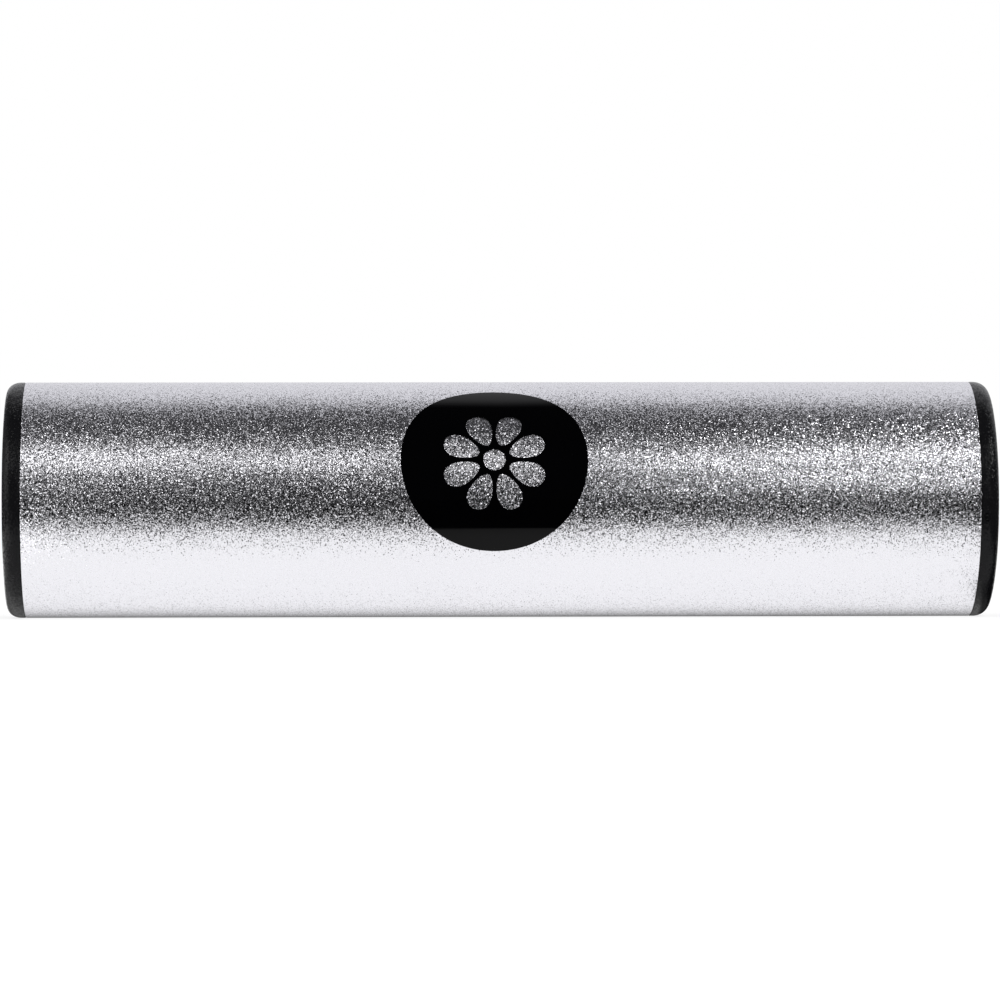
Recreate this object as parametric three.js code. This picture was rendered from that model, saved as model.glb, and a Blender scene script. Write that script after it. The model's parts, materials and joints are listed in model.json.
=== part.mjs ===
// A hand-held tube shaker: a blasted aluminium tube, two moulded black caps that plug
// its ends, a round label on its front, and rows of loose steel shot sealed inside.
// Millimetres, +Z up. The tube's axis is X, the label faces -Y, and the origin is the
// middle of that axis. The shaker lies on its side with the shot at the bottom.

import * as THREE from "three";

// Tube
const tubeDiameter = 45;
const tubeWall = 1.5;
const tubeLength = 180.5;
const tubeEdgeChamfer = 0.3;

// End caps: a flange that covers the tube's end, and a finned skirt that plugs the bore
const flangeThickness = 3.5;
const flangeRoundLength = 2.6;
const flangeRoundDepth = 2;
const capFloorThickness = 3;
const skirtLength = 12;
const skirtWall = 2;
const finCount = 4;
const finHeight = 1.2;
const finRootThickness = 1.4;
const finTipThickness = 0.6;
const capFitGap = 0.3;

// Round label, cut flat and wrapped round the tube
const labelDiameter = 35.2;
const labelThickness = 0.2;
const labelGlueGap = 0.1;
const labelRiseDegrees = 19.4;
const labelShift = -1.4;

// Steel shot, lying in rows along the tube
const shotDiameter = 6;
const shotPerRow = 8;
const shotGap = 0.3;
const wallRowCount = 5;

// Facets of the round shapes
const tubeSides = 72;
const flangeRoundSteps = 6;
const labelSteps = 24;
const shotDetail = 1;

const tubeRadius = tubeDiameter / 2;
const boreRadius = tubeRadius - tubeWall;
const tubeHalfLength = tubeLength / 2;
const finRadius = boreRadius - capFitGap;
const skirtRadius = finRadius - finHeight;
const skirtBoreRadius = skirtRadius - skirtWall;
const shotRadius = shotDiameter / 2;
const shotPitch = shotDiameter + shotGap;

const blastedAluminium = new THREE.MeshStandardMaterial({
  color: 0xc4c5ca,
  roughness: 0.38,
  metalness: 1,
});
const blackPlastic = new THREE.MeshStandardMaterial({
  color: 0x17171a,
  roughness: 0.55,
  metalness: 0,
});
const labelBlack = new THREE.MeshStandardMaterial({
  color: 0x050506,
  roughness: 0.12,
  metalness: 0,
});
const shotSteel = new THREE.MeshStandardMaterial({
  color: 0x9a9ca0,
  roughness: 0.22,
  metalness: 1,
});

// Turns a profile of [radius, distance along X] points about the X axis. Half a facet of
// turn puts a flat facet, and not an edge, at the bottom.
function turned(profile) {
  const points = profile.map(([radius, along]) => new THREE.Vector2(radius, along));
  const halfFacet = Math.PI / tubeSides;
  return new THREE.LatheGeometry(points, tubeSides, halfFacet).rotateZ(-Math.PI / 2);
}

function tubeGeometry() {
  const end = tubeHalfLength;
  const shoulder = end - tubeEdgeChamfer;
  return turned([
    [tubeRadius, -shoulder],
    [tubeRadius, shoulder],
    [tubeRadius - tubeEdgeChamfer, end],
    [boreRadius + tubeEdgeChamfer, end],
    [boreRadius, shoulder],
    [boreRadius, -shoulder],
    [boreRadius + tubeEdgeChamfer, -end],
    [tubeRadius - tubeEdgeChamfer, -end],
    [tubeRadius, -shoulder],
  ]);
}

// The fins stand evenly along the skirt, each a ring that narrows towards its tip.
function finProfile() {
  const spacing = skirtLength / finCount;
  const points = [];
  for (let fin = 0; fin < finCount; fin += 1) {
    const middle = -skirtLength + spacing * (fin + 0.5);
    points.push(
      [skirtRadius, middle - finRootThickness / 2],
      [finRadius, middle - finTipThickness / 2],
      [finRadius, middle + finTipThickness / 2],
      [skirtRadius, middle + finRootThickness / 2],
    );
  }
  return points;
}

// The flange's outer edge is a quarter of an ellipse from its rim to its flat face.
function flangeEdgeProfile() {
  const points = [];
  for (let step = 0; step <= flangeRoundSteps; step += 1) {
    const turn = (Math.PI / 2) * (step / flangeRoundSteps);
    points.push([
      tubeRadius - flangeRoundDepth * (1 - Math.cos(turn)),
      flangeThickness - flangeRoundLength * (1 - Math.sin(turn)),
    ]);
  }
  return points;
}

// A cap stands with its flange's seat at X = 0, its face towards +X and its skirt
// towards -X. The skirt is open at its inner end.
function endCapGeometry() {
  const floor = flangeThickness - capFloorThickness;
  return turned([
    [0, floor],
    [skirtBoreRadius, floor],
    [skirtBoreRadius, -skirtLength],
    [skirtRadius, -skirtLength],
    ...finProfile(),
    [skirtRadius, 0],
    [tubeRadius, 0],
    ...flangeEdgeProfile(),
    [0, flangeThickness],
  ]);
}

// The label is a disc in the flat. Each of its rows runs along the tube at one height, so
// it stays straight when the disc is wrapped. The first and the last rows are points.
function labelGeometry() {
  const innerRadius = tubeRadius + labelGlueGap;
  const outerRadius = innerRadius + labelThickness;
  const discRadius = labelDiameter / 2;
  const rows = [];
  for (let step = 0; step <= labelSteps; step += 1) {
    const turn = Math.PI * (step / labelSteps);
    const rise = THREE.MathUtils.degToRad(labelRiseDegrees);
    const angle = rise - (discRadius * Math.cos(turn)) / tubeRadius;
    const isTip = step === 0 || step === labelSteps;
    rows.push({ angle, halfWidth: isTip ? 0 : discRadius * Math.sin(turn) });
  }
  const corner = (row, side, radius) =>
    new THREE.Vector3(
      side * row.halfWidth,
      -radius * Math.cos(row.angle),
      radius * Math.sin(row.angle),
    );
  const positions = [];
  const quad = (a, b, c, d) => {
    for (const triangle of [[a, b, c], [a, c, d]]) {
      const [p, q, r] = triangle;
      const isFlat = p.equals(q) || q.equals(r) || r.equals(p);
      if (!isFlat) triangle.forEach((point) => positions.push(...point.toArray()));
    }
  };
  for (let step = 0; step < labelSteps; step += 1) {
    const [low, high] = [rows[step], rows[step + 1]];
    const outer = [corner(low, -1, outerRadius), corner(low, 1, outerRadius),
      corner(high, 1, outerRadius), corner(high, -1, outerRadius)];
    const inner = [corner(low, -1, innerRadius), corner(low, 1, innerRadius),
      corner(high, 1, innerRadius), corner(high, -1, innerRadius)];
    quad(outer[0], outer[1], outer[2], outer[3]);
    quad(inner[3], inner[2], inner[1], inner[0]);
    quad(outer[1], inner[1], inner[2], outer[2]);
    quad(outer[3], inner[3], inner[0], outer[0]);
  }
  const geometry = new THREE.BufferGeometry();
  geometry.setAttribute("position", new THREE.Float32BufferAttribute(positions, 3));
  geometry.computeVertexNormals();
  return geometry;
}

// Where the rows of shot lie across the bore: one layer side by side against the wall,
// and two rows on top that lean on each other and on the layer. Each is a [Y, Z] pair.
function shotRowPlaces() {
  const layerRadius = boreRadius - shotGap - shotRadius;
  const turnPerRow = 2 * Math.asin(shotPitch / 2 / layerRadius);
  const places = [];
  for (let row = 0; row < wallRowCount; row += 1) {
    const turn = (row - (wallRowCount - 1) / 2) * turnPerRow;
    places.push([layerRadius * Math.sin(turn), -layerRadius * Math.cos(turn)]);
  }
  const topY = shotPitch / 2;
  const restHeights = places
    .filter(([y]) => Math.abs(y - topY) < shotPitch)
    .map(([y, z]) => z + Math.sqrt(shotPitch ** 2 - (y - topY) ** 2));
  const topZ = Math.max(...restHeights);
  places.push([-topY, topZ], [topY, topZ]);
  return places;
}

function named(name, geometry, material) {
  const mesh = new THREE.Mesh(geometry, material);
  mesh.name = name;
  return mesh;
}

function shotRow(rowNumber, [y, z]) {
  const row = new THREE.Group();
  row.position.set(0, y, z);
  for (let index = 0; index < shotPerRow; index += 1) {
    const ball = named(
      `shot_${rowNumber}_${index + 1}`,
      new THREE.IcosahedronGeometry(shotRadius, shotDetail),
      shotSteel,
    );
    ball.position.x = (index - (shotPerRow - 1) / 2) * shotPitch;
    row.add(ball);
  }
  return row;
}

const shaker = new THREE.Group();
shaker.add(named("tube", tubeGeometry(), blastedAluminium));

const rightCap = named("end_cap_right", endCapGeometry(), blackPlastic);
rightCap.position.x = tubeHalfLength;
shaker.add(rightCap);

const leftCap = named("end_cap_left", endCapGeometry(), blackPlastic);
leftCap.position.x = -tubeHalfLength;
leftCap.rotation.z = Math.PI;
shaker.add(leftCap);

const label = named("front_label", labelGeometry(), labelBlack);
label.position.x = labelShift;
shaker.add(label);

shotRowPlaces().forEach((place, index) => shaker.add(shotRow(index + 1, place)));

export default shaker;
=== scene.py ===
"""Tube shaker: a blasted aluminium tube, moulded black caps, a gloss round label and loose steel shot.

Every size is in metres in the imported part's own frame: the tube's axis is X, the label
faces -Y, +Z is up and the origin is the middle of the axis.
"""

import json
import math

import bmesh
import bpy
from bpy.props import FloatProperty, FloatVectorProperty, IntProperty, PointerProperty
from mathutils import Matrix, Vector


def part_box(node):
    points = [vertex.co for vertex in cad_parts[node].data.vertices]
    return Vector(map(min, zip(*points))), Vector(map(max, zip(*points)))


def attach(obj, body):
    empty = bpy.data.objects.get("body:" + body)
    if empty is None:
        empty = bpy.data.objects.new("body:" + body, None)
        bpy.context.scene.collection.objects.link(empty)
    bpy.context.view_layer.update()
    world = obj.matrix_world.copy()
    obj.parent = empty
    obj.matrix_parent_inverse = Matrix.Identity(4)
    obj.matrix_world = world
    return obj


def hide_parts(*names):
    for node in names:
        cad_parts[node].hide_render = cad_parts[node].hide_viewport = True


bl_info = {
    "name": "Tube Shaker",
    "version": (1, 0, 0),
    "blender": (4, 5, 0),
    "location": "View3D > Sidebar > Shaker",
    "description": "Builds a hand-held tube shaker, piece by piece, around its packed CAD model",
    "category": "Object",
}

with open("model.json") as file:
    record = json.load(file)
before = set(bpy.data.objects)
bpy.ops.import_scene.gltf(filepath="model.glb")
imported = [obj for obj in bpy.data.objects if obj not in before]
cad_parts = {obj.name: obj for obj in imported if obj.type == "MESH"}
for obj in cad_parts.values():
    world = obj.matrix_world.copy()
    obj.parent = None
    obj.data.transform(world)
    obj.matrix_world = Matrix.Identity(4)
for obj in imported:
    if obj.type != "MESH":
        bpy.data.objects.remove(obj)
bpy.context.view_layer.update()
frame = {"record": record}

MM = 0.001
SHELL_BODY = "shell"

_, TUBE_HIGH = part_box("tube")
CAP_LOW, CAP_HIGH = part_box("end_cap_right")
LABEL_LOW, LABEL_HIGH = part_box("front_label")

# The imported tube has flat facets. A smooth tube through their middles stays inside its box.
TUBE_RADIUS = TUBE_HIGH.z
TUBE_END = TUBE_HIGH.x
CAP_FACE = CAP_HIGH.x
SKIRT_END = CAP_LOW.x
LABEL_CENTRE = (LABEL_LOW.x + LABEL_HIGH.x) / 2
LABEL_DIAMETER = LABEL_HIGH.x - LABEL_LOW.x

# Faces and edges this near a wanted place are the ones meant, and points this near are one
NEAR = 0.01 * MM
MERGE = 0.001 * MM

# The facets' tilts: few are steep and most are gentle, and this power sets how quickly they thin out
TILT_POWER = 0.89


# Sizes and colours that a user would change


class TubeSizes(bpy.types.PropertyGroup):
    """The tube's sizes and its finish"""

    wall: FloatProperty(
        name="Wall", description="Thickness of the tube's wall", default=1.5 * MM, unit="LENGTH"
    )
    chamfer: FloatProperty(
        name="Chamfer", description="Broken edge at both ends", default=0.12 * MM, unit="LENGTH"
    )
    sides: IntProperty(name="Sides", description="Faces round the tube", default=256, min=48)
    colour: FloatVectorProperty(
        name="Colour", description="Blasted aluminium", default=(0.87, 0.865, 0.905), subtype="COLOR"
    )
    grain: FloatProperty(
        name="Grain", description="Width of one facet of the finish", default=0.15 * MM, unit="LENGTH"
    )
    sparkle: FloatProperty(
        name="Sparkle", description="How far a common facet of the finish tilts", default=0.33, min=0, max=1
    )
    spread: FloatProperty(
        name="Spread", description="How alike the facets' tilts are", default=0.75, min=0.01, max=2
    )


class CapSizes(bpy.types.PropertyGroup):
    """The end caps' sizes and their plastic"""

    round_length: FloatProperty(
        name="Round length", description="Edge round, along the tube", default=2.6 * MM, unit="LENGTH"
    )
    round_depth: FloatProperty(
        name="Round depth", description="Edge round, across the tube", default=2 * MM, unit="LENGTH"
    )
    floor: FloatProperty(
        name="Floor", description="Thickness of the cap's end wall", default=3 * MM, unit="LENGTH"
    )
    skirt_wall: FloatProperty(
        name="Skirt wall", description="Thickness of the skirt", default=2 * MM, unit="LENGTH"
    )
    fin_height: FloatProperty(
        name="Fin height", description="How far the fins stand out", default=1.2 * MM, unit="LENGTH"
    )
    fin_root: FloatProperty(
        name="Fin root", description="A fin's width at the skirt", default=1.4 * MM, unit="LENGTH"
    )
    fin_tip: FloatProperty(
        name="Fin tip", description="A fin's width at its tip", default=0.6 * MM, unit="LENGTH"
    )
    fins: IntProperty(name="Fins", description="Fins round the skirt", default=4, min=1)
    fit_gap: FloatProperty(
        name="Fit gap", description="Room between the fins and the bore", default=0.3 * MM, unit="LENGTH"
    )
    seat_bevel: FloatProperty(
        name="Seat bevel", description="Broken edge beside the tube", default=0.28 * MM, unit="LENGTH"
    )
    sides: IntProperty(name="Sides", description="Faces round the cap", default=256, min=48)
    colour: FloatVectorProperty(
        name="Colour", description="Moulded plastic", default=(0.003, 0.003, 0.0035), subtype="COLOR"
    )
    grain: FloatProperty(
        name="Grain", description="Width of one facet of the texture", default=0.2 * MM, unit="LENGTH"
    )
    sparkle: FloatProperty(
        name="Sparkle", description="How far a common facet of the texture tilts", default=0.16, min=0, max=1
    )
    spread: FloatProperty(
        name="Spread", description="How alike the facets' tilts are", default=0.5, min=0.01, max=2
    )
    nick_width: FloatProperty(
        name="Nick width", description="The nick beside the right cap's seam", default=1.2 * MM, unit="LENGTH"
    )
    nick_height: FloatProperty(
        name="Nick height", description="The nick, round the cap", default=1.6 * MM, unit="LENGTH"
    )
    nick_depth: FloatProperty(
        name="Nick depth", description="The nick's depth", default=0.6 * MM, unit="LENGTH"
    )
    nick_angle: FloatProperty(
        name="Nick angle", description="How far below the front it is",
        default=math.radians(9), unit="ROTATION",
    )


class LabelSizes(bpy.types.PropertyGroup):
    """The round label's sizes and its film"""

    thickness: FloatProperty(
        name="Thickness", description="Thickness of the film", default=0.1 * MM, unit="LENGTH"
    )
    rise: FloatProperty(
        name="Rise", description="How far above the front it sits",
        default=math.radians(19.4), unit="ROTATION",
    )
    row: FloatProperty(
        name="Row", description="Height of the film's rows of faces", default=0.8 * MM, unit="LENGTH"
    )
    petals: IntProperty(name="Petals", description="Petals cut out of the film", default=8, min=0)
    petal_start: FloatProperty(
        name="Petal start", description="From the disc's middle to a petal", default=3.1 * MM, unit="LENGTH"
    )
    petal_length: FloatProperty(
        name="Petal length", description="Length of a petal", default=7 * MM, unit="LENGTH"
    )
    petal_width: FloatProperty(
        name="Petal width", description="A petal's width at its widest", default=4.4 * MM, unit="LENGTH"
    )
    eye: FloatProperty(
        name="Eye", description="Diameter of the round window in the middle", default=4.2 * MM, unit="LENGTH"
    )
    colour: FloatVectorProperty(
        name="Colour", description="Gloss film", default=(0.0005, 0.0005, 0.0007), subtype="COLOR"
    )


class ShotSizes(bpy.types.PropertyGroup):
    """The loose shot's sizes and its steel"""

    diameter: FloatProperty(
        name="Diameter", description="Diameter of a ball", default=6 * MM, unit="LENGTH"
    )
    colour: FloatVectorProperty(
        name="Colour", description="Polished steel", default=(0.6, 0.61, 0.63), subtype="COLOR"
    )


class StageSizes(bpy.types.PropertyGroup):
    """The camera, the floor and the lights"""

    distance: FloatProperty(
        name="Distance", description="From the camera to the tube's axis", default=1.013, unit="LENGTH"
    )
    turn: FloatProperty(
        name="Turn", description="How far the tube is turned from square",
        default=math.radians(1.89), unit="ROTATION",
    )
    roll: FloatProperty(
        name="Roll", description="Roll of the camera", default=math.radians(0.086), unit="ROTATION"
    )
    aside: FloatProperty(
        name="Aside", description="How far right the camera stands", default=0.33 * MM, unit="LENGTH"
    )
    below: FloatProperty(
        name="Below", description="How far below the axis the camera stands", default=0.1 * MM, unit="LENGTH"
    )
    lens: FloatProperty(name="Lens", description="Focal length in millimetres", default=190.22)


# Shader maths


class Socket:
    """A shader output that adds its Math nodes when it is used in a sum"""

    def __init__(self, paint, output):
        self.paint = paint
        self.output = output

    def math(self, operation, *values):
        return self.paint.add("ShaderNodeMath", {"operation": operation}, values)

    def sibling(self, name):
        """Another output of the same node"""
        return Socket(self.paint, self.output.node.outputs[name])

    def __add__(self, other):
        return self.math("ADD", self, other)

    def __sub__(self, other):
        return self.math("SUBTRACT", self, other)

    def __mul__(self, other):
        return self.math("MULTIPLY", self, other)

    def __truediv__(self, other):
        return self.math("DIVIDE", self, other)

    def __pow__(self, other):
        return self.math("POWER", self, other)

    def __rsub__(self, other):
        return self.math("SUBTRACT", other, self)

    def __neg__(self):
        return self.math("MULTIPLY", self, -1)

    def __abs__(self):
        return self.math("ABSOLUTE", self)

    __radd__ = __add__
    __rmul__ = __mul__


class Paint:
    """A material's or a world's node tree, written from an empty start"""

    def __init__(self, owner):
        owner.use_nodes = True
        self.tree = owner.node_tree
        self.tree.nodes.clear()

    def add(self, kind, settings=None, values=(), output=0):
        """Adds a node: its settings first, then its sockets' values or links, by place or by name"""
        node = self.tree.nodes.new(kind)
        for name, value in (settings or {}).items():
            setattr(node, name, value)
        pairs = values.items() if isinstance(values, dict) else enumerate(values)
        for place, value in pairs:
            if isinstance(value, Socket):
                self.tree.links.new(value.output, node.inputs[place])
            else:
                node.inputs[place].default_value = value
        if not node.outputs:
            return None
        return Socket(self, node.outputs[output])

    def vector(self, operation, *values):
        """Vector maths"""
        return self.add("ShaderNodeVectorMath", {"operation": operation}, values)

    def blend(self, factor, dark, light):
        """A colour between two, by a factor"""
        values = {"Factor": factor, 6: dark, 7: light}
        return self.add("ShaderNodeMix", {"data_type": "RGBA"}, values, 2)

    def ramp(self, value, low, high):
        """0 where the value is at low, 1 where it is at high, and smooth between"""
        values = {"Value": value, "From Min": low, "From Max": high}
        return self.add("ShaderNodeMapRange", {"interpolation_type": "SMOOTHSTEP"}, values)

    def edge(self, value, at, blur):
        """0 below a place and 1 above it, with a smooth change that reaches the blur to each side"""
        return self.ramp(value, at - blur, at + blur)

    def finish(self, **values):
        """Ends a material with its surface shader"""
        named = {name.replace("_", " "): value for name, value in values.items()}
        surface = self.add("ShaderNodeBsdfPrincipled", values=named)
        self.add("ShaderNodeOutputMaterial", values={"Surface": surface})


def rgba(colour):
    """The colour, opaque"""
    return (*colour, 1)


def facets(paint, place, sizes):
    """Small facets that each tilt their own way: their normal, and a second random value for each"""
    facet = paint.add(
        "ShaderNodeTexVoronoi", {"feature": "F1"}, {"Vector": place, "Scale": 1 / sizes.grain}, 1
    )
    upright = paint.add("ShaderNodeNewGeometry", output=1)
    centred = paint.vector("SUBTRACT", facet, (0.5, 0.5, 0.5))
    across = paint.vector("NORMALIZE", paint.vector("CROSS_PRODUCT", upright, centred))
    chance = paint.add("ShaderNodeTexWhiteNoise", values=[facet])
    steepness = sizes.sparkle * (chance / (1 + sizes.spread - chance)) ** TILT_POWER
    tilt = paint.add("ShaderNodeVectorMath", {"operation": "SCALE"}, {0: across, "Scale": steepness})
    normal = paint.vector("NORMALIZE", paint.vector("ADD", upright, tilt))
    return normal, paint.add("ShaderNodeSeparateXYZ", values=[chance.sibling("Color")], output=1)


def blasted_aluminium(sizes):
    """Facets of unlike shine, so that they flash where light meets dark"""
    material = bpy.data.materials.new("blasted_aluminium")
    paint = Paint(material)
    place = paint.add("ShaderNodeTexCoord", output=3)
    normal, shine = facets(paint, place, sizes)
    patches = paint.add("ShaderNodeTexNoise", values={"Vector": place, "Scale": 60, "Detail": 3})
    paint.finish(
        Base_Color=rgba(sizes.colour),
        Metallic=1,
        Roughness=0.28 + 0.05 * patches - 0.22 * shine**1.2,
        Normal=normal,
    )
    return material


def black_plastic(sizes):
    """Moulded plastic with a fine grain and a slightly uneven sheen"""
    material = bpy.data.materials.new("black_plastic")
    paint = Paint(material)
    place = paint.add("ShaderNodeTexCoord", output=3)
    normal, shine = facets(paint, place, sizes)
    sheen = paint.add("ShaderNodeTexNoise", values={"Vector": place, "Scale": 220, "Detail": 4})
    lighter = tuple(2.2 * channel for channel in sizes.colour)
    paint.finish(
        Base_Color=paint.blend(sheen, rgba(sizes.colour), rgba(lighter)),
        Roughness=0.17 + 0.16 * sheen - 0.1 * shine,
        Specular_IOR_Level=0.13,
        Normal=normal,
    )
    return material


def label_film(sizes):
    """Gloss black film, a little uneven where it is stuck down"""
    material = bpy.data.materials.new("label_black")
    paint = Paint(material)
    place = paint.add("ShaderNodeTexCoord", output=3)
    waves = paint.add("ShaderNodeTexNoise", values={"Vector": place, "Scale": 90, "Detail": 1})
    paint.finish(
        Base_Color=rgba(sizes.colour),
        Roughness=0.05 + 0.05 * waves,
        Specular_IOR_Level=0.14,
    )
    return material


def polished_steel(sizes):
    """Bearing steel with faint rolling marks"""
    material = bpy.data.materials.new("shot_steel")
    paint = Paint(material)
    place = paint.add("ShaderNodeTexCoord", output=3)
    marks = paint.add("ShaderNodeTexNoise", values={"Vector": place, "Scale": 900, "Detail": 3})
    paint.finish(Base_Color=rgba(sizes.colour), Metallic=1, Roughness=0.14 + 0.16 * marks)
    return material


# Modelling helpers


def active_piece(name, material):
    """Names the piece just added, puts its place into its mesh and gives it its material"""
    piece = bpy.context.active_object
    piece.name = piece.data.name = name
    bpy.ops.object.transform_apply(location=True, rotation=True, scale=True)
    piece.data.materials.append(material)
    return piece


def select_in_edit(piece, mode, wanted):
    """Selects the piece's faces, edges or vertices that the test wants, and nothing else"""
    bpy.ops.mesh.select_mode(type=mode)
    bpy.ops.mesh.select_all(action="DESELECT")
    mesh = bmesh.from_edit_mesh(piece.data)
    parts = {"FACE": mesh.faces, "EDGE": mesh.edges, "VERT": mesh.verts}[mode]
    for part in parts:
        if wanted(part):
            part.select = True
    mesh.select_flush_mode()
    bmesh.update_edit_mesh(piece.data)


def faces_along(sign, at):
    """Picks flat end faces that look along +X or -X at a place on the axis"""

    def wanted(face):
        return face.normal.x * sign > 0.9 and abs(face.calc_center_median().x - at) < NEAR

    return wanted


def ring_at(radius, at):
    """Picks the edges of a ring round the axis"""

    def wanted(edge):
        return all(
            abs(vertex.co.x - at) < NEAR and abs(vertex.co.yz.length - radius) < 2 * NEAR
            for vertex in edge.verts
        )

    return wanted


def add_disc(radius, low, high, sides):
    """A cylinder on the tube's axis, from one place along it to another"""
    bpy.ops.object.select_all(action="DESELECT")
    bpy.ops.mesh.primitive_cylinder_add(
        vertices=sides,
        radius=radius,
        depth=high - low,
        end_fill_type="NGON",
        location=((low + high) / 2, 0, 0),
        rotation=(0, math.pi / 2, 0),
    )


def extrude_to(radius, at, now_radius, now_at):
    """Draws the selected end face along the axis to a new place, at a new radius"""
    bpy.ops.mesh.extrude_region_move(TRANSFORM_OT_translate={"value": (at - now_at, 0, 0)})
    share = radius / now_radius
    bpy.ops.transform.resize(value=(1, share, share), center_override=(at, 0, 0))


def extrude_profile(points, start):
    """Draws the selected end face through [radius, place along the axis] points"""
    now = start
    for point in points:
        extrude_to(*point, *now)
        now = point
    return now


def close_up(smooth_angle=30):
    """Leaves edit mode with merged points, normals out and smooth shading where the angle is small"""
    bpy.ops.mesh.select_all(action="SELECT")
    bpy.ops.mesh.remove_doubles(threshold=MERGE)
    bpy.ops.mesh.normals_make_consistent(inside=False)
    bpy.ops.object.mode_set(mode="OBJECT")
    bpy.ops.object.shade_smooth_by_angle(angle=math.radians(smooth_angle))


def edit(piece):
    """Enters edit mode on one piece alone"""
    bpy.ops.object.select_all(action="DESELECT")
    piece.select_set(True)
    bpy.context.view_layer.objects.active = piece
    bpy.ops.object.mode_set(mode="EDIT")


# Pieces


def make_tube(sizes):
    """The tube, open at both ends, with all four rims broken"""
    add_disc(TUBE_RADIUS, -TUBE_END, TUBE_END, sizes.sides)
    piece = active_piece("shaker_tube", blasted_aluminium(sizes))
    edit(piece)
    ends = [faces_along(1, TUBE_END), faces_along(-1, -TUBE_END)]
    select_in_edit(piece, "FACE", lambda face: any(end(face) for end in ends))
    bpy.ops.mesh.inset(thickness=sizes.wall, use_individual=True)
    bpy.ops.mesh.bridge_edge_loops()
    rims = [
        ring_at(radius, at)
        for radius in (TUBE_RADIUS, TUBE_RADIUS - sizes.wall)
        for at in (-TUBE_END, TUBE_END)
    ]
    select_in_edit(piece, "EDGE", lambda edge: any(rim(edge) for rim in rims))
    bpy.ops.mesh.bevel(offset=sizes.chamfer, segments=2, affect="EDGES")
    close_up()
    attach(piece, SHELL_BODY)
    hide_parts("tube")


def edge_round(sizes, steps):
    """The cap's outer edge: a quarter of an ellipse from its rim to its face"""
    points = []
    for step in range(1, steps + 1):
        turn = math.pi / 2 * step / steps
        radius = TUBE_RADIUS - sizes.round_depth * (1 - math.cos(turn))
        at = CAP_FACE - sizes.round_length * (1 - math.sin(turn))
        points.append((radius, at))
    return points


def fin_points(sizes, skirt_radius, fin_radius):
    """The skirt's outside, from the flange to its open end, fin by fin"""
    spacing = (TUBE_END - SKIRT_END) / sizes.fins
    points = []
    for fin in range(sizes.fins):
        middle = TUBE_END - spacing * (fin + 0.5)
        points += [
            (skirt_radius, middle + sizes.fin_root / 2),
            (fin_radius, middle + sizes.fin_tip / 2),
            (fin_radius, middle - sizes.fin_tip / 2),
            (skirt_radius, middle - sizes.fin_root / 2),
        ]
    points.append((skirt_radius, SKIRT_END))
    return points


def make_right_cap(sizes):
    """The right cap: its rounded flange outside the tube, and its finned hollow skirt inside"""
    tube = bpy.context.scene.shaker_tube
    rim = CAP_FACE - sizes.round_length
    add_disc(TUBE_RADIUS, TUBE_END, rim, sizes.sides)
    piece = active_piece("shaker_end_cap_right", black_plastic(sizes))
    edit(piece)

    select_in_edit(piece, "FACE", faces_along(1, rim))
    round_steps = 12
    face_radius, _ = extrude_profile(edge_round(sizes, round_steps), (TUBE_RADIUS, rim))
    for ring in (0.5, 0.4):
        bpy.ops.mesh.inset(thickness=face_radius * ring)

    fin_radius = TUBE_RADIUS - tube.wall - sizes.fit_gap
    skirt_radius = fin_radius - sizes.fin_height
    select_in_edit(piece, "FACE", faces_along(-1, TUBE_END))
    bpy.ops.mesh.inset(thickness=TUBE_RADIUS - skirt_radius)
    extrude_profile(fin_points(sizes, skirt_radius, fin_radius), (skirt_radius, TUBE_END))
    bpy.ops.mesh.inset(thickness=sizes.skirt_wall)
    hollow_radius = skirt_radius - sizes.skirt_wall
    extrude_to(hollow_radius, CAP_FACE - sizes.floor, hollow_radius, SKIRT_END)
    select_in_edit(piece, "EDGE", ring_at(TUBE_RADIUS, TUBE_END))
    bpy.ops.mesh.bevel(offset=sizes.seat_bevel, segments=2, affect="EDGES")
    close_up()
    return piece


def make_left_cap(right):
    """The same moulding, turned half round about the upright"""
    bpy.ops.object.select_all(action="DESELECT")
    right.select_set(True)
    bpy.context.view_layer.objects.active = right
    bpy.ops.object.duplicate()
    piece = bpy.context.active_object
    piece.name = piece.data.name = "shaker_end_cap_left"
    piece.rotation_euler = (0, 0, math.pi)
    bpy.ops.object.transform_apply(location=True, rotation=True, scale=True)
    return piece


def cut_nick(cap, sizes):
    """A shallow oval nick in the front of the cap, its middle almost its own width from the seam"""
    bpy.ops.object.select_all(action="DESELECT")
    bpy.ops.mesh.primitive_uv_sphere_add(segments=32, ring_count=16, radius=0.5)
    cutter = bpy.context.active_object
    cutter.scale = (sizes.nick_width, 2 * sizes.nick_depth, sizes.nick_height)
    cutter.rotation_euler = (sizes.nick_angle, 0, 0)
    cutter.location = (
        TUBE_END + 0.9 * sizes.nick_width,
        -TUBE_RADIUS * math.cos(sizes.nick_angle),
        -TUBE_RADIUS * math.sin(sizes.nick_angle),
    )
    bpy.ops.object.transform_apply(location=True, rotation=True, scale=True)
    cut(cap, cutter)
    edit(cap)
    close_up()


def make_label(sizes):
    """The label: a flat disc of film with its windows cut out, sliced into rows and wrapped"""
    bpy.ops.object.select_all(action="DESELECT")
    half = LABEL_DIAMETER / 2
    bpy.ops.mesh.primitive_cylinder_add(
        vertices=192, radius=half, depth=sizes.thickness, location=(0, 0, sizes.thickness / 2)
    )
    piece = active_piece("shaker_front_label", label_film(sizes))
    cut_windows(piece, sizes)
    edit(piece)
    rows = math.ceil(half / sizes.row)
    for row in range(1 - rows, rows):
        bpy.ops.mesh.select_all(action="SELECT")
        bpy.ops.mesh.bisect(plane_co=(0, row * sizes.row, 0), plane_no=(0, 1, 0))
    bpy.ops.object.mode_set(mode="OBJECT")
    wrap_round_tube(piece, sizes)
    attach(piece, SHELL_BODY)
    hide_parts("front_label")


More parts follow.
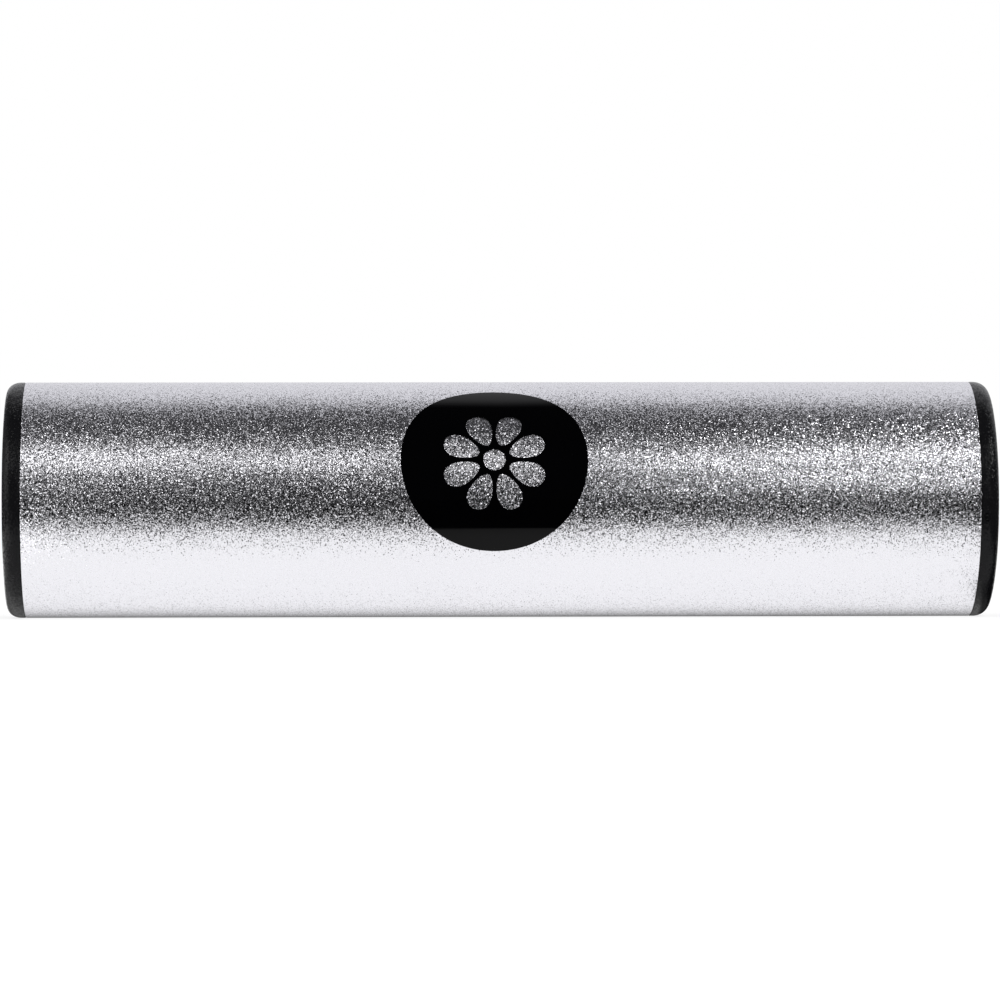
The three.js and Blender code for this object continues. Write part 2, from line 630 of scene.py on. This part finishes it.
def cut_windows(film, sizes):
    """Cuts a plain rosette out of the flat film: a ring of petals about a round eye"""
    cutters = [add_cutter(sizes.eye, sizes.eye, 0, 0)]
    for petal in range(sizes.petals):
        middle = sizes.petal_start + sizes.petal_length / 2
        turn = 2 * math.pi * (petal + 0.5) / sizes.petals
        cutters.append(add_cutter(sizes.petal_length, sizes.petal_width, middle, turn))
    for cutter in cutters:
        cut(film, cutter)


def add_cutter(length, width, middle, turn):
    """An upright plug with an oval outline, narrower towards the film's middle"""
    bpy.ops.object.select_all(action="DESELECT")
    bpy.ops.mesh.primitive_cylinder_add(vertices=64, radius=0.5, depth=2 * MM)
    cutter = bpy.context.active_object
    taper = 0.3 if middle else 0
    for vertex in cutter.data.vertices:
        vertex.co.y *= 1 + 2 * taper * vertex.co.x
    cutter.scale = (length, width, 1)
    cutter.rotation_euler = (0, 0, turn)
    cutter.location = (middle * math.cos(turn), middle * math.sin(turn), 0)
    bpy.ops.object.transform_apply(location=True, rotation=True, scale=True)
    return cutter


def cut(piece, cutter):
    """Takes the cutter's shape out of the piece and throws the cutter away"""
    bpy.context.view_layer.objects.active = piece
    window = piece.modifiers.new("window", "BOOLEAN")
    window.operation = "DIFFERENCE"
    window.solver = "EXACT"
    window.object = cutter
    bpy.ops.object.modifier_apply(modifier=window.name)
    bpy.data.meshes.remove(cutter.data)


def wrap_round_tube(piece, sizes):
    """Bends the flat film about the tube's axis. Its own height becomes its distance from the axis."""
    mesh = bmesh.new()
    mesh.from_mesh(piece.data)
    for vertex in mesh.verts:
        angle = sizes.rise + vertex.co.y / TUBE_RADIUS
        radius = TUBE_RADIUS + vertex.co.z
        vertex.co = (
            LABEL_CENTRE + vertex.co.x,
            -radius * math.cos(angle),
            radius * math.sin(angle),
        )
    mesh.to_mesh(piece.data)
    mesh.free()
    edit(piece)
    close_up()


def make_ball(node, sizes, material):
    """A ball where its faceted node lies: a finely divided cube, blown up into a sphere"""
    low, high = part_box(node)
    centre = (low + high) / 2
    bpy.ops.object.select_all(action="DESELECT")
    bpy.ops.mesh.primitive_cube_add(size=sizes.diameter, location=centre)
    piece = active_piece(node.replace("shot", "ball"), material)
    edit(piece)
    bpy.ops.mesh.select_all(action="SELECT")
    bpy.ops.mesh.subdivide(number_cuts=7)
    mesh = bmesh.from_edit_mesh(piece.data)
    for vertex in mesh.verts:
        vertex.co = centre + (vertex.co - centre).normalized() * sizes.diameter / 2
    bmesh.update_edit_mesh(piece.data)
    close_up(180)
    return piece


# Stage

# Each lamp's azimuth and elevation in degrees, width and height in metres, and radiance. Azimuth 0
# is the camera's side. No lamp stands straight before the label, whose film would mirror it.
LAMPS = {
    "lamp_left": (-33, 37.5, 0.36, 0.4, 1.8),
    "lamp_middle_left": (-11, 38, 0.12, 0.36, 2.8),
    "lamp_middle_right": (17, 37, 0.12, 0.34, 3.4),
    "lamp_right": (37, 38, 0.34, 0.28, 2),
    "lamp_low_right": (27, 18, 0.3, 0.22, 1.8),
    "glint_left": (-24, 9, 0.06, 0.06, 4),
    "glint_middle": (13, 8, 0.06, 0.06, 8),
    "glint_right": (32, 8, 0.06, 0.06, 7),
    "lamp_far_left": (-68, 30, 0.3, 0.3, 3),
    "lamp_far_right": (68, 34, 0.2, 0.34, 11),
}
LAMP_DISTANCE = 1.2


def make_camera(sizes):
    """The camera before the shaker, a little aside and a little low, as fitted to the photograph"""
    data = bpy.data.cameras.new("camera")
    data.sensor_width = 36
    data.lens = sizes.lens
    data.clip_end = 100
    camera = bpy.data.objects.new("camera", data)
    bpy.context.scene.collection.objects.link(camera)
    stand = Matrix.Rotation(-sizes.turn, 4, "Z") @ Matrix.Translation(
        (sizes.aside, -sizes.distance, -sizes.below)
    )
    upright = Matrix.Rotation(math.pi / 2, 4, "X")
    camera.matrix_world = stand @ Matrix.Rotation(sizes.roll, 4, "Y") @ upright
    bpy.context.scene.camera = camera


def add_lamp(name, azimuth, elevation, width, height, radiance):
    """A soft rectangular lamp that looks at the shaker"""
    data = bpy.data.lights.new(name, "AREA")
    data.shape = "RECTANGLE"
    data.size = width
    data.size_y = height
    data.energy = radiance * math.pi * width * height
    lamp = bpy.data.objects.new(name, data)
    bpy.context.scene.collection.objects.link(lamp)
    across, up = math.radians(azimuth), math.radians(elevation)
    away = Vector((math.sin(across) * math.cos(up), -math.cos(across) * math.cos(up), math.sin(up)))
    lamp.location = away * LAMP_DISTANCE
    lamp.rotation_euler = away.to_track_quat("Z", "Y").to_euler()
    lamp.visible_camera = False


def paint_floor_pool(paint, along, across):
    """A pool of painted light on the floor that only mirrors see: where it lies, and how bright it is painted
    there. It reaches far out on the left. On the right it ends close to the cap, or further out before and
    behind the tube. Painted shadow darkens it right under the cap and along the tube's contact line, and it
    is painted dimmer towards its front edge and brighter far out on the left."""
    from_contact = abs(across)
    front = -TUBE_RADIUS - 32 * MM
    left = -CAP_FACE - 80 * MM
    right = CAP_FACE + 1.5 * MM
    more_before = 15 * MM * (1 - paint.ramp(across, -20 * MM, -13 * MM))
    more_behind = 60 * MM * paint.ramp(across, 2 * MM, 12 * MM)
    # Painted shadow of the cap: the pool is darker right under the cap and just beyond it
    close_by = 1 - paint.ramp(from_contact, 11 * MM, 19 * MM)
    painted_cap_shadow = close_by * paint.ramp(along, TUBE_END + 1.1 * MM, TUBE_END + 2.7 * MM)
    # Where the pool of painted light lies: the floor glows there for mirrors, as if lamps lit it
    painted_pool = (
        paint.edge(across, front, 2 * MM)
        * paint.edge(along, left, 20 * MM)
        * (1 - paint.edge(along - more_before - more_behind, right, 1 * MM))
        * (1 - 0.82 * painted_cap_shadow)
    )
    # Painted shade: the pool is dimmer towards its front edge
    painted_front_dimming = 0.8 + 0.2 * paint.ramp(across, front, front + 16 * MM)
    # Painted light: the pool is brighter far out on the left
    far_left = 1 + 1.5 * paint.ramp(-along, CAP_FACE + 4 * MM, CAP_FACE + 30 * MM)
    # Painted shadow: the pool is darker close to the line where the tube meets the floor
    painted_contact_shadow = paint.ramp(from_contact, -1 * MM, 9 * MM)
    return painted_pool, 0.905 * painted_pool * painted_front_dimming * far_left * painted_contact_shadow


def make_floor():
    """A pale floor that the camera sees as white, with the shaker's shadow kept, and that mirrors see
    as black but for a pool of painted light, with painted shadow in it near the shaker"""
    bpy.ops.object.select_all(action="DESELECT")
    bpy.ops.mesh.primitive_plane_add(size=12, location=(0, 0, -TUBE_RADIUS))
    floor = bpy.context.active_object
    floor.name = "floor"
    material = bpy.data.materials.new("floor")
    paint = Paint(material)
    along = paint.add("ShaderNodeSeparateXYZ", values=[paint.add("ShaderNodeTexCoord", output=3)])
    painted_pool, painted_pool_light = paint_floor_pool(paint, along, along.sibling("Y"))
    camera = paint.add("ShaderNodeLightPath")
    glossy = camera.sibling("Is Glossy Ray")
    # Mirrors see the floor black outside the pool, a painted shade, and only a little real shading inside it
    share = (1 - glossy * (1 - 0.15 * painted_pool)) * (1 - 0.7 * camera)
    colour = paint.blend(share, rgba((0, 0, 0)), rgba((0.9, 0.9, 0.91)))
    diffuse = paint.add("ShaderNodeBsdfDiffuse", values={"Color": colour})
    # Camera rays get an even white glow; mirrors get the pool of painted light
    fill = 0.77 * camera + glossy * painted_pool_light
    glow = paint.add("ShaderNodeEmission", values={"Strength": fill})
    both = paint.add("ShaderNodeAddShader", values=[diffuse, glow])
    paint.add("ShaderNodeOutputMaterial", values={"Surface": both})
    floor.data.materials.append(material)


def make_world():
    """White to the camera and plain to soft light. Mirrors see a dark room before, a pale wall behind,
    dimmer on the left, and a bright screen far out on the left."""
    world = bpy.data.worlds.new("studio")
    bpy.context.scene.world = world
    paint = Paint(world)
    direction = paint.add("ShaderNodeTexCoord")
    behind = paint.add("ShaderNodeSeparateXYZ", values=[direction], output=1)
    left = -behind.sibling("X")
    camera = paint.add("ShaderNodeLightPath")
    diffuse = camera.sibling("Is Diffuse Ray")
    wall = paint.ramp(behind, 0.18, 0.43) * (1 - 0.85 * paint.ramp(left, 0.24, 0.48))
    screen = paint.ramp(left, 0.65, 0.95) * (1 - 0.8 * paint.ramp(behind, -0.1, 0.3))
    before = paint.blend(screen, rgba((0.026, 0.026, 0.028)), rgba((2, 2, 2)))
    mirrored = paint.blend(wall, before, rgba((0.79, 0.79, 0.815)))
    room = paint.blend(diffuse, mirrored, rgba((0.8, 0.8, 0.8)))
    colour = paint.blend(camera, room, rgba((1, 1, 1)))
    light = paint.add("ShaderNodeBackground", values={"Color": colour})
    paint.add("ShaderNodeOutputWorld", values={"Surface": light})


# Operators


class SHAKER_OT_tube(bpy.types.Operator):
    """Adds the blasted aluminium tube"""

    bl_idname = "shaker.tube"
    bl_label = "Tube"

    def execute(self, context):
        make_tube(context.scene.shaker_tube)
        return {"FINISHED"}


class SHAKER_OT_end_caps(bpy.types.Operator):
    """Adds the two moulded end caps"""

    bl_idname = "shaker.end_caps"
    bl_label = "End caps"

    def execute(self, context):
        right = make_right_cap(context.scene.shaker_caps)
        left = make_left_cap(right)
        cut_nick(right, context.scene.shaker_caps)
        for piece, node in ((right, "end_cap_right"), (left, "end_cap_left")):
            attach(piece, SHELL_BODY)
            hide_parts(node)
        return {"FINISHED"}


class SHAKER_OT_label(bpy.types.Operator):
    """Adds the gloss round label"""

    bl_idname = "shaker.label"
    bl_label = "Label"

    def execute(self, context):
        make_label(context.scene.shaker_label)
        return {"FINISHED"}


class SHAKER_OT_shot(bpy.types.Operator):
    """Adds the loose steel shot, each ball on its own row's body"""

    bl_idname = "shaker.shot"
    bl_label = "Shot"

    def execute(self, context):
        sizes = context.scene.shaker_shot
        material = polished_steel(sizes)
        for body, nodes in frame["record"]["behaviour"]["bodies"].items():
            if body == SHELL_BODY:
                continue
            for node in nodes:
                piece = make_ball(node, sizes, material)
                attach(piece, body)
                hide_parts(node)
        return {"FINISHED"}


class SHAKER_OT_stage(bpy.types.Operator):
    """Adds the camera, the floor, the lamps and the world"""

    bl_idname = "shaker.stage"
    bl_label = "Stage"

    def execute(self, context):
        make_camera(context.scene.shaker_stage)
        make_floor()
        make_world()
        for name, settings in LAMPS.items():
            add_lamp(name, *settings)
        context.scene.view_settings.view_transform = "Standard"
        return {"FINISHED"}


OPERATORS = (SHAKER_OT_tube, SHAKER_OT_end_caps, SHAKER_OT_label, SHAKER_OT_shot, SHAKER_OT_stage)


class SHAKER_PT_sidebar(bpy.types.Panel):
    """Lists the shaker's pieces in the order in which they are made"""

    bl_label = "Tube Shaker"
    bl_space_type = "VIEW_3D"
    bl_region_type = "UI"
    bl_category = "Shaker"

    def draw(self, context):
        for operator in OPERATORS:
            self.layout.operator(operator.bl_idname)
        for name in SIZES:
            group = getattr(context.scene, name)
            box = self.layout.box()
            for size in group.bl_rna.properties.keys():
                if size not in ("rna_type", "name"):
                    box.prop(group, size)


SIZES = {
    "shaker_tube": TubeSizes,
    "shaker_caps": CapSizes,
    "shaker_label": LabelSizes,
    "shaker_shot": ShotSizes,
    "shaker_stage": StageSizes,
}


def register():
    for group in (*SIZES.values(), *OPERATORS, SHAKER_PT_sidebar):
        bpy.utils.register_class(group)
    for name, group in SIZES.items():
        setattr(bpy.types.Scene, name, PointerProperty(type=group))


def unregister():
    for name in SIZES:
        delattr(bpy.types.Scene, name)
    for group in (SHAKER_PT_sidebar, *reversed(OPERATORS), *reversed(SIZES.values())):
        bpy.utils.unregister_class(group)


def main():
    register()
    bpy.ops.shaker.stage()
    bpy.ops.shaker.tube()
    bpy.ops.shaker.end_caps()
    bpy.ops.shaker.label()
    bpy.ops.shaker.shot()


if __name__ == "__main__":
    main()
